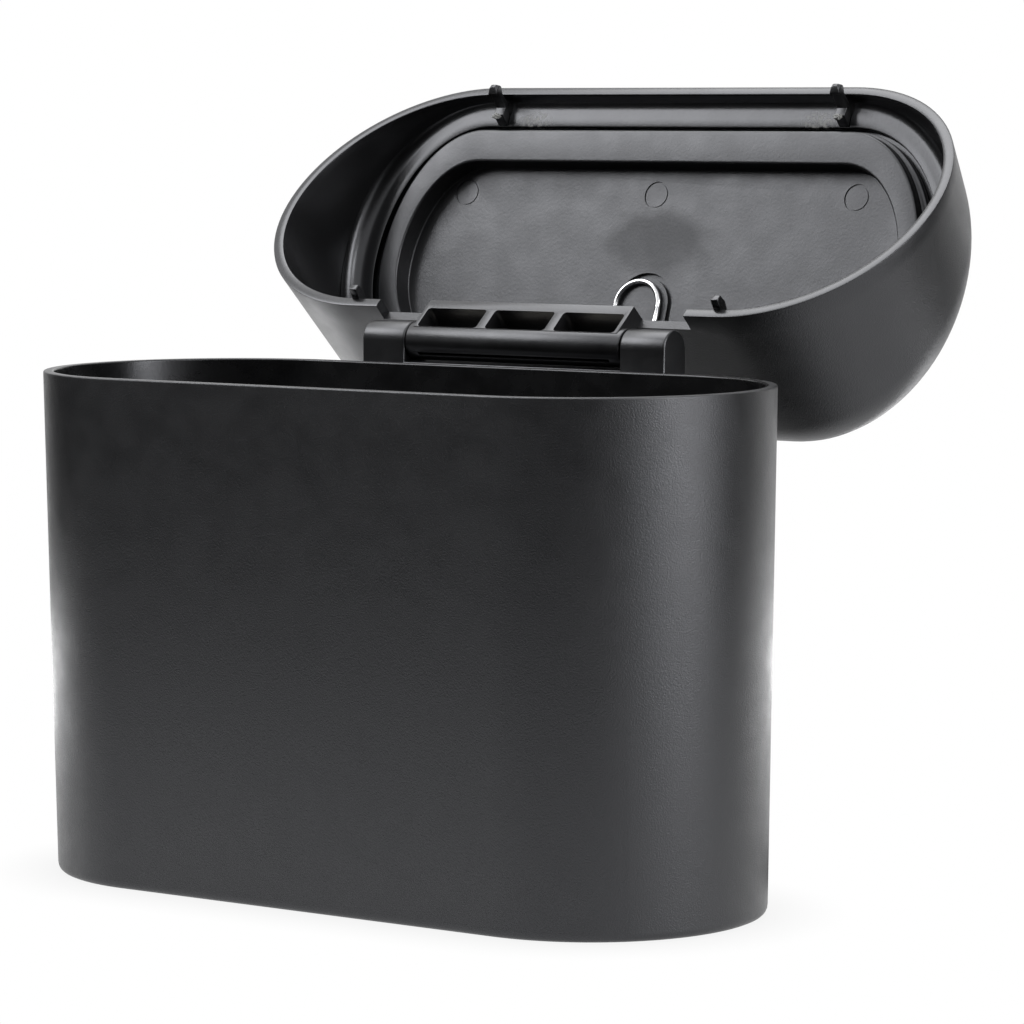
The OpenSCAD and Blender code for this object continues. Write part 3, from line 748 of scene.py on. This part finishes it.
# ---------------------------------------------------------------- flap frame and hooks


def build_frame():
    fillet_r = 4.5
    skin = LID_WALL + FRAME_GAP + fillet_r
    fillet = [ball_row(skin, LEDGE_W - fillet_r, fillet_r, t / 10) for t in range(11)]
    edge = on_flap_row(SEAT, 0.4, LEDGE_W)
    rows = fillet + [between(fillet[-1], edge, 0.5), edge]
    rows += [on_flap_row(*v) for v in (
        (SEAT, 0.12, LEDGE_W + 0.08), (SEAT, 0.0, LEDGE_W + 0.4), (SEAT, 0.0, SEAT_W - 0.2), (SEAT, -0.2, SEAT_W),
        (OPENING, 0.3, SEAT_W), (OPENING, 0.0, SEAT_W + 0.3), (OPENING, 0.0, -2.9), (OPENING, 0.3, -2.6),
        (OPENING, 1.5, -2.6), (OPENING, 1.8, -2.9), (OPENING, 1.8, SEAT_W + 1.8), (SEAT, 1.6, SEAT_W + 1.8),
        (SEAT, 1.6, LEDGE_W + 2.0))]
    outer_r = CREST_R - LID_WALL - FRAME_GAP
    rows += [ball_row(CREST_R, -CREST_R, outer_r, t) for t in (0.35, 0.2, 0.08)]
    carrier = lofted("flap_carrier", rows, lid_place(), ring=True)
    dress(carrier, "Ledge plastic", "lid_plastic", "lid", "flap_frame")
    base, ear_gap, ear_half = LEDGE_W + 1.0, 0.4, 1.2
    outline = [(ROD_V - EYE_R, base), (ROD_V + EYE_R + 1.0, base)] + circle_pts(ROD_V, ROD_W, EYE_R, 0, -180, 20)
    apart = ARM_HALF + ear_gap + ear_half
    for i, x in enumerate((-ARM_X - apart, -ARM_X + apart, ARM_X - apart, ARM_X + apart), 1):
        ear = prism_x(f"rod_ear_{i}", outline, x - ear_half, x + ear_half, lid_place() @ flap_place(), 0.25)
        dress(ear, "Smooth inner plastic", "lid_plastic", "lid")


def copied_node(node, name, edge):
    """A welded copy of a small CAD node with rounded edges."""
    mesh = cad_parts[node].data.copy()
    mesh.name = name
    bm = bmesh.new()
    bm.from_mesh(mesh)
    bmesh.ops.remove_doubles(bm, verts=bm.verts, dist=1e-6)
    bmesh.ops.dissolve_limit(bm, angle_limit=math.radians(1), verts=bm.verts, edges=bm.edges)
    bm.to_mesh(mesh)
    bm.free()
    mesh.materials.clear()
    obj = settle(name, mesh)
    round_edges(obj, edge, 3)
    return obj


def broken_end(name, x, y, z):
    """A small ragged lump where a runner was broken off."""
    bm = bmesh.new()
    bmesh.ops.create_icosphere(bm, subdivisions=4, radius=1.0)
    centre = Vector((x, y, z))
    for vert in bm.verts:
        swell = 1 + 0.5 * noise.noise(vert.co * 2.3 + centre) + 0.25 * noise.noise(vert.co * 6.1)
        flattened = Vector((vert.co.x * 1.15, vert.co.y * 0.8, vert.co.z * 0.7))
        vert.co = lid_place() @ (centre + flattened * swell) * MM
    mesh = bpy.data.meshes.new(name)
    bm.to_mesh(mesh)
    bm.free()
    return settle(name, mesh)


def build_hooks():
    for side, name in ((-1, "left"), (1, "right")):
        hook = copied_node(f"latch_hook_{name}", f"latch_hook_{name}_moulded", 0.3)
        dress(hook, "Hinge plastic", "lid_plastic", "lid", f"latch_hook_{name}")
        chip = broken_end(f"latch_hook_{name}_break", side * HOOK_X, -35.2, 2.75)
        dress(chip, "Broken end", "lid_plastic", "lid")


# ---------------------------------------------------------------- flap


def build_flap():
    place = lid_place() @ flap_place()

    def wide(outline, grow, w, radius):
        return (*[v + grow for v in outline], w, radius)

    middle = (10.0, 18.0, 14.0)
    profile = rounded([
        wide(middle, 0, PANEL_IN, 0), wide(RECESS, 0, PANEL_IN, 0.35), wide(RECESS, 0, RING_TOP, 0.6),
        wide(RING, 0, RING_TOP, 0.7), wide(RING, 0, LEDGE_W, 0.4), wide(FLANGE, 0, LEDGE_W, 0.3),
        wide(FLANGE, 0, SEAT_W - 0.3, 0.3), wide(RING, -RING_WALL, SEAT_W - 0.3, 0.5),
        wide(RING, -RING_WALL, RING_TOP + RING_WALL, 0.8), wide(RECESS, RING_WALL, RING_TOP + RING_WALL, 0.8),
        wide(RECESS, RING_WALL, PANEL_OUT, 1.2), wide(middle, 0, PANEL_OUT, 0)], 4)
    rows = [oval_row(rx, front, rear, w) for rx, front, rear, w in profile]
    flap = lofted("push_flap_panel", rows, place)
    marks = [mark_cutter(61.2 * i - 2.1, -21.3, place) for i in (-1, 0, 1)]
    combine(flap, "DIFFERENCE", marks + [leg_groove_cutter(place)])
    dress(flap, "Flap plastic", "flap_plastic", "flap", "push_flap")
    for side, name in ((-1, "left"), (1, "right")):
        outline = [(RING[2] - 1.8, RING_TOP + 0.2), (RECESS[2] + 0.1, RING_TOP), (ROD_V, ROD_W - EYE_R)]
        outline += circle_pts(ROD_V, ROD_W, EYE_R, -90, 0, 12)[1:]
        outline += [(ROD_V, LEDGE_W - 0.8), (RING[2] - 0.6, LEDGE_W - 0.8)]
        arm = prism_x(f"flap_arm_{name}", outline, side * ARM_X - ARM_HALF, side * ARM_X + ARM_HALF, place, 0.25)
        dress(arm, "Flap plastic", "flap_plastic", "flap")


def mark_cutter(x, y, place):
    """Round mark that an ejector pin leaves: a shallow disc in a fine ring."""
    turns = [2 * math.pi * k / 64 for k in range(64)]
    rows = [[Vector((x + r * math.cos(a), y + r * math.sin(a), PANEL_IN + w)) for a in turns]
            for r, w in ((3.65, -1.0), (3.65, 0.30), (3.25, 0.30), (3.25, 0.08))]
    return lofted("mark_cutter", rows, place)


def leg_groove_cutter(place):
    """U-shaped groove in the panel round the pad that the spring's leg bears on."""
    bend, rear = ROD_V - 28.0, RECESS[2] - 0.3
    outer, inner = ([(-r, rear)] + circle_pts(0, bend, r, -180, 0, 36) + [(r, rear)]
                    for r in (PAD_R + GROOVE_W, PAD_R))
    n = len(outer)
    points = [(x, y, w) for w in (PANEL_IN - 1.0, PANEL_IN + GROOVE_D) for x, y in outer + inner]
    faces = [(0, n, 3 * n, 2 * n), (n - 1, 3 * n - 1, 4 * n - 1, 2 * n - 1)]
    for k in range(n - 1):
        faces += [(k, k + 1, n + k + 1, n + k), (2 * n + k, 3 * n + k, 3 * n + k + 1, 2 * n + k + 1),
                  (k, 2 * n + k, 2 * n + k + 1, k + 1), (n + k, n + k + 1, 3 * n + k + 1, 3 * n + k)]
    return mesh_piece("leg_groove_cutter", points, faces, place)


# ---------------------------------------------------------------- metal


def smooth_path(points, steps=6):
    """A smooth curve through all the points."""
    out = []
    pts = [points[0]] + points + [points[-1]]
    for i in range(1, len(pts) - 2):
        p0, p1, p2, p3 = pts[i - 1 : i + 3]
        for k in range(steps):
            t = k / steps
            out.append(0.5 * ((2 * p1) + (p2 - p0) * t + (2 * p0 - 5 * p1 + 4 * p2 - p3) * t * t
                              + (3 * p1 - p0 - 3 * p2 + p3) * t ** 3))
    out.append(points[-1])
    return out


def tube(name, path, radius, place):
    """A round wire along a path, kept from twisting."""
    sides = 16
    rows = []
    normal = None
    for i, p in enumerate(path):
        along = (path[min(i + 1, len(path) - 1)] - path[max(i - 1, 0)]).normalized()
        normal = along.orthogonal() if normal is None else normal
        normal = (normal - along * normal.dot(along)).normalized()
        across = along.cross(normal)
        rows.append([p + normal * (radius * math.cos(2 * math.pi * k / sides))
                     + across * (radius * math.sin(2 * math.pi * k / sides)) for k in range(sides)])
    return lofted(name, rows, place)


def spring_path():
    """Centre line of the double torsion spring: tail, coil, U-shaped leg, coil, tail."""
    leg_x, bend = 6.6, ROD_V - 27.6
    coil_r, pitch, turns = ROD_R + 0.3 + WIRE_R, 1.65, 4
    low = PANEL_IN - 0.2 - WIRE_R
    high = RING_TOP - 0.2 - WIRE_R
    rear = RECESS[2]
    leg = [Vector((leg_x * math.sin(math.radians(a)), bend - leg_x * math.cos(math.radians(a)), low))
           for a in range(0, 91, 9)]
    leg = smooth_path(leg + [Vector((leg_x, bend + 3, low)), Vector((leg_x, rear - 8, low - 0.8)),
                             Vector((leg_x, rear - 5, low - 2.6)), Vector((leg_x, rear - 2, high + 0.5)),
                             Vector((leg_x, rear + 1, high - 0.3)), Vector((leg_x, rear + 4, high - 0.4)),
                             Vector((leg_x, ROD_V - 1.2, ROD_W - coil_r))], 5)
    coil = [Vector((leg_x + t / 36 * pitch, ROD_V + coil_r * math.sin(2 * math.pi * t / 36),
                    ROD_W - coil_r * math.cos(2 * math.pi * t / 36))) for t in range(0, 36 * turns + 1)]
    end_x = leg_x + turns * pitch
    tail = [Vector((end_x, ROD_V + 1.8, ROD_W - coil_r + 0.5)), Vector((end_x, ROD_V + 3.24, ROD_W - coil_r + 1.9)),
            Vector((end_x, ROD_V + 3.6, LEDGE_W - WIRE_R - 0.8))]
    half = leg + coil + tail
    other = [Vector((-p.x, p.y, p.z)) for p in reversed(half[1:])]
    return other + half


def build_spring():
    place = lid_place() @ flap_place() @ Matrix.Translation((-SPRING_SLID, 0, 0))
    spring = tube("flap_spring_wire", spring_path(), WIRE_R, place)
    spring.data.materials.append(material("Spring wire"))
    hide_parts("flap_spring")
    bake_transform(spring)


def build_pins():
    pin = round_bar("lid_hinge_pin_turned", -43.85, 43.85, AXIS_Y, AXIS_Z, PIN_R, Matrix.Identity(4), 0.15, 40)
    dress(pin, "Drawn steel", "pin_steel", "bin", "lid_hinge_pin")
    rod = round_bar("flap_pivot_rod_turned", -37.05, 37.05, ROD_V, ROD_W, ROD_R, lid_place() @ flap_place(), 0.12, 32)
    dress(rod, "Drawn steel", "pin_steel", "lid", "flap_pivot_rod")


# ---------------------------------------------------------------- stage


def way_to(azimuth, elevation):
    """Unit vector from the bin towards a place: 0 degrees is the front, 90 the right."""
    az, el = math.radians(azimuth), math.radians(elevation)
    return Vector((math.sin(az) * math.cos(el), -math.cos(az) * math.cos(el), math.sin(el)))


def face_towards(obj, target, way, distance, roll=0.0):
    """Puts a lamp or camera at a distance from a target, and turns it to the target."""
    obj.location = target + way * distance
    obj.rotation_mode = "QUATERNION"
    turn = Matrix.Rotation(math.radians(roll), 3, "Z").to_quaternion()
    obj.rotation_quaternion = (-way).to_track_quat("-Z", "Y") @ turn


def softbox(name, azimuth, elevation, distance, width, height, radiance):
    """A large soft lamp that faces the bin, set by the way it lies from the bin and by how bright its face is."""
    data = bpy.data.lights.new(name, "AREA")
    data.shape = "RECTANGLE"
    data.size, data.size_y = width, height
    data.energy = radiance * math.pi * width * height
    lamp = bpy.data.objects.new(name, data)
    bpy.context.scene.collection.objects.link(lamp)
    face_towards(lamp, Vector((0, 0.03, 0.1)), way_to(azimuth, elevation), distance)
    lamp.visible_camera = False


def seen_white(tree, plain, white, out):
    """Mixes a plain shader with one that camera, gloss and glass see as white."""
    ray = add_node(tree, "ShaderNodeLightPath").outputs
    first = math_value(tree, "MAXIMUM", ray["Is Camera Ray"], ray["Is Glossy Ray"])
    mix_surface(tree, math_value(tree, "MAXIMUM", first, ray["Is Transmission Ray"]), plain, white, out)


def pale_surface(name, colour):
    """Matt floor that camera and gloss see as white, with a painted contact shadow: a soft dark line where the bin
    stands on it.
    """
    mat = shaded_material(name, {"Base Color": (*colour, 1), "Roughness": 0.9, "Specular IOR Level": 0.1})
    tree = mat.node_tree
    # Painted contact shadow: ambient occlusion darkens the floor's white glow close to the bin.
    painted_contact_shadow = add_node(tree, "ShaderNodeAmbientOcclusion", {"Distance": 0.02}, samples=8)
    glow = add_node(tree, "ShaderNodeEmission", {"Color": map_value(tree, painted_contact_shadow.outputs["AO"], 0.45, 1.0, 0.90, 1.0)})
    seen_white(tree, tree.nodes["Principled BSDF"].outputs["BSDF"], glow.outputs["Emission"],
               tree.nodes["Material Output"])
    return mat


def plain_black(name):
    """Matt black board."""
    return shaded_material(name, {"Base Color": (0.01, 0.01, 0.01, 1), "Roughness": 0.9, "Specular IOR Level": 0.0})


def soft_black(name, centre, scale):
    """Black round a place and clear further out, with a soft change between."""
    mat = plain_black(name)
    tree = mat.node_tree
    fade = map_value(tree, distance_from(tree, centre, scale), 0.6, 1.0, interpolation_type="SMOOTHSTEP")
    clear = add_node(tree, "ShaderNodeBsdfTransparent").outputs["BSDF"]
    mix_surface(tree, fade, tree.nodes["Principled BSDF"].outputs["BSDF"], clear, tree.nodes["Material Output"])
    return mat


def sheet(name, points, faces, mat):
    mesh = bpy.data.meshes.new(name)
    mesh.from_pydata([Vector(p) for p in points], [], faces)
    mesh.materials.append(mat)
    obj = bpy.data.objects.new(name, mesh)
    bpy.context.scene.collection.objects.link(obj)
    return obj


def level_sheet(name, x0, y0, x1, y1, z, mat):
    return sheet(name, [(x0, y0, z), (x1, y0, z), (x1, y1, z), (x0, y1, z)], [(0, 1, 2, 3)], mat)


def unseen(obj):
    """Leaves a board or sheet to reflections alone: neither the camera nor a shadow shows it."""
    obj.visible_camera = False
    obj.visible_shadow = False
    return obj


def curved_board(name, start, end, look, mat):
    """A board that stands on an arc round the bin, in degrees from the front towards the right."""
    steps = 24
    ways = [way_to(start + (end - start) * i / steps, 0) * look.board_distance for i in range(steps + 1)]
    points = [(way.x, way.y, z) for z in (0.0, look.board_height) for way in ways]
    faces = [(i, i + 1, steps + 2 + i, steps + 1 + i) for i in range(steps)]
    unseen(sheet(name, points, faces, mat))


def build_backdrop(look):
    """Pale floor, with boards that are black in the plastic's reflections, as round a real black product."""
    level_sheet("floor", -3, -3, 3, 3, -0.0002, pale_surface("Pale floor", look.floor_colour))
    black = plain_black("Black board")
    curved_board("black_boards_front", look.board_from, look.board_to, look, black)
    curved_board("black_boards_rear", 108, 150, look, black)
    # Stands for the shade on the ground under the open lid
    dark = soft_black("Lid shade", (0.002, 0.070, 0.0), (8.6, 16.0, 1.0))
    unseen(level_sheet("lid_shade", -0.13, -0.01, 0.17, 0.14, 0.001, dark)).visible_diffuse = False


def build_world():
    world = bpy.data.worlds.new("Studio")
    world.use_nodes = True
    bpy.context.scene.world = world
    tree = world.node_tree
    plain = tree.nodes["Background"]
    fill_inputs(tree, plain, {"Color": (0.30, 0.30, 0.31, 1), "Strength": 0.40})
    white = add_node(tree, "ShaderNodeBackground", {"Color": (1, 1, 1, 1)})
    seen_white(tree, plain.outputs["Background"], white.outputs["Background"], tree.nodes["World Output"])


def build_camera():
    data = bpy.data.cameras.new("Camera")
    data.sensor_fit = "HORIZONTAL"
    data.sensor_width = SENSOR_WIDTH
    data.lens = FOCAL_PIXELS / PICTURE_PIXELS * SENSOR_WIDTH
    data.clip_start, data.clip_end = 0.05, 20
    cam = bpy.data.objects.new("Camera", data)
    bpy.context.scene.collection.objects.link(cam)
    bpy.context.scene.camera = cam
    way = way_to(VIEW_AZIMUTH, VIEW_ELEVATION)
    face_towards(cam, Vector(VIEW_TARGET) * MM, way, VIEW_DISTANCE * MM, VIEW_ROLL)


def build_stage():
    scene = bpy.context.scene
    look = scene.stage_look
    scene.view_settings.view_transform = "Standard"
    build_backdrop(look)
    build_world()
    softbox("Side softbox", 91, 13, 1.2, 0.42, 1.1, look.side_light)
    softbox("Left strip", -100, -15.8, 0.31, 0.26, 0.030, look.strip_light * 0.42)
    softbox("Back strip", 164, -15.8, 0.31, 0.30, 0.030, look.strip_light * 0.36)
    softbox("Left softbox", -70, 38, 1.1, 0.4, 0.5, look.left_light)
    softbox("Right softbox", 58, 34, 1.2, 0.22, 0.24, look.right_light)
    softbox("Front softbox", -49, 36, 1.2, 0.5, 0.75, look.front_light)
    softbox("Top softbox", -100, 72, 1.1, 0.8, 0.7, look.top_light)
    build_camera()


# ---------------------------------------------------------------- operators and panel


class TRASHBIN_OT_bin(bpy.types.Operator):
    """Build the bin with its hinge bracket."""

    bl_idname = "trashbin.bin"
    bl_label = "Bin"

    def execute(self, context):
        build_bin()
        return {"FINISHED"}


class TRASHBIN_OT_hood(bpy.types.Operator):
    """Build the lid's hood with its hinge block and pegs."""

    bl_idname = "trashbin.hood"
    bl_label = "Lid hood"

    def execute(self, context):
        build_hood()
        return {"FINISHED"}


class TRASHBIN_OT_frame(bpy.types.Operator):
    """Build the carrier that holds the flap."""

    bl_idname = "trashbin.frame"
    bl_label = "Flap carrier"

    def execute(self, context):
        build_frame()
        return {"FINISHED"}


class TRASHBIN_OT_hooks(bpy.types.Operator):
    """Build the two latch hooks."""

    bl_idname = "trashbin.hooks"
    bl_label = "Latch hooks"

    def execute(self, context):
        build_hooks()
        return {"FINISHED"}


class TRASHBIN_OT_flap(bpy.types.Operator):
    """Build the push flap with its arms."""

    bl_idname = "trashbin.flap"
    bl_label = "Push flap"

    def execute(self, context):
        build_flap()
        return {"FINISHED"}


class TRASHBIN_OT_metal(bpy.types.Operator):
    """Build the spring and the two steel pins."""

    bl_idname = "trashbin.metal"
    bl_label = "Spring and pins"

    def execute(self, context):
        build_spring()
        build_pins()
        return {"FINISHED"}


class TRASHBIN_OT_stage(bpy.types.Operator):
    """Build the floor, the lights and the camera."""

    bl_idname = "trashbin.stage"
    bl_label = "Stage"

    def execute(self, context):
        build_stage()
        return {"FINISHED"}


class TRASHBIN_PT_sidebar(bpy.types.Panel):
    """Lists the looks and the steps that build the bin."""

    bl_idname = "TRASHBIN_PT_sidebar"
    bl_label = "Car trash bin"
    bl_space_type = "VIEW_3D"
    bl_region_type = "UI"
    bl_category = "Trash Bin"

    def draw(self, context):
        for group in (context.scene.bin_look, context.scene.metal_look, context.scene.stage_look):
            box = self.layout.box()
            for name in group.__annotations__:
                box.prop(group, name)
        for step in OPERATORS:
            self.layout.operator(step.bl_idname)


OPERATORS = (TRASHBIN_OT_bin, TRASHBIN_OT_hood, TRASHBIN_OT_frame, TRASHBIN_OT_hooks,
             TRASHBIN_OT_flap, TRASHBIN_OT_metal, TRASHBIN_OT_stage)
CLASSES = (BinLook, MetalLook, StageLook) + OPERATORS + (TRASHBIN_PT_sidebar,)


def register():
    for cls in CLASSES:
        bpy.utils.register_class(cls)
    bpy.types.Scene.bin_look = bpy.props.PointerProperty(type=BinLook)
    bpy.types.Scene.metal_look = bpy.props.PointerProperty(type=MetalLook)
    bpy.types.Scene.stage_look = bpy.props.PointerProperty(type=StageLook)


def unregister():
    del bpy.types.Scene.bin_look
    del bpy.types.Scene.metal_look
    del bpy.types.Scene.stage_look
    for cls in reversed(CLASSES):
        bpy.utils.unregister_class(cls)


def main():
    register()
    bpy.ops.trashbin.bin()
    bpy.ops.trashbin.hood()
    bpy.ops.trashbin.frame()
    bpy.ops.trashbin.hooks()
    bpy.ops.trashbin.flap()
    bpy.ops.trashbin.metal()
    bpy.ops.trashbin.stage()


if __name__ == "__main__":
    main()
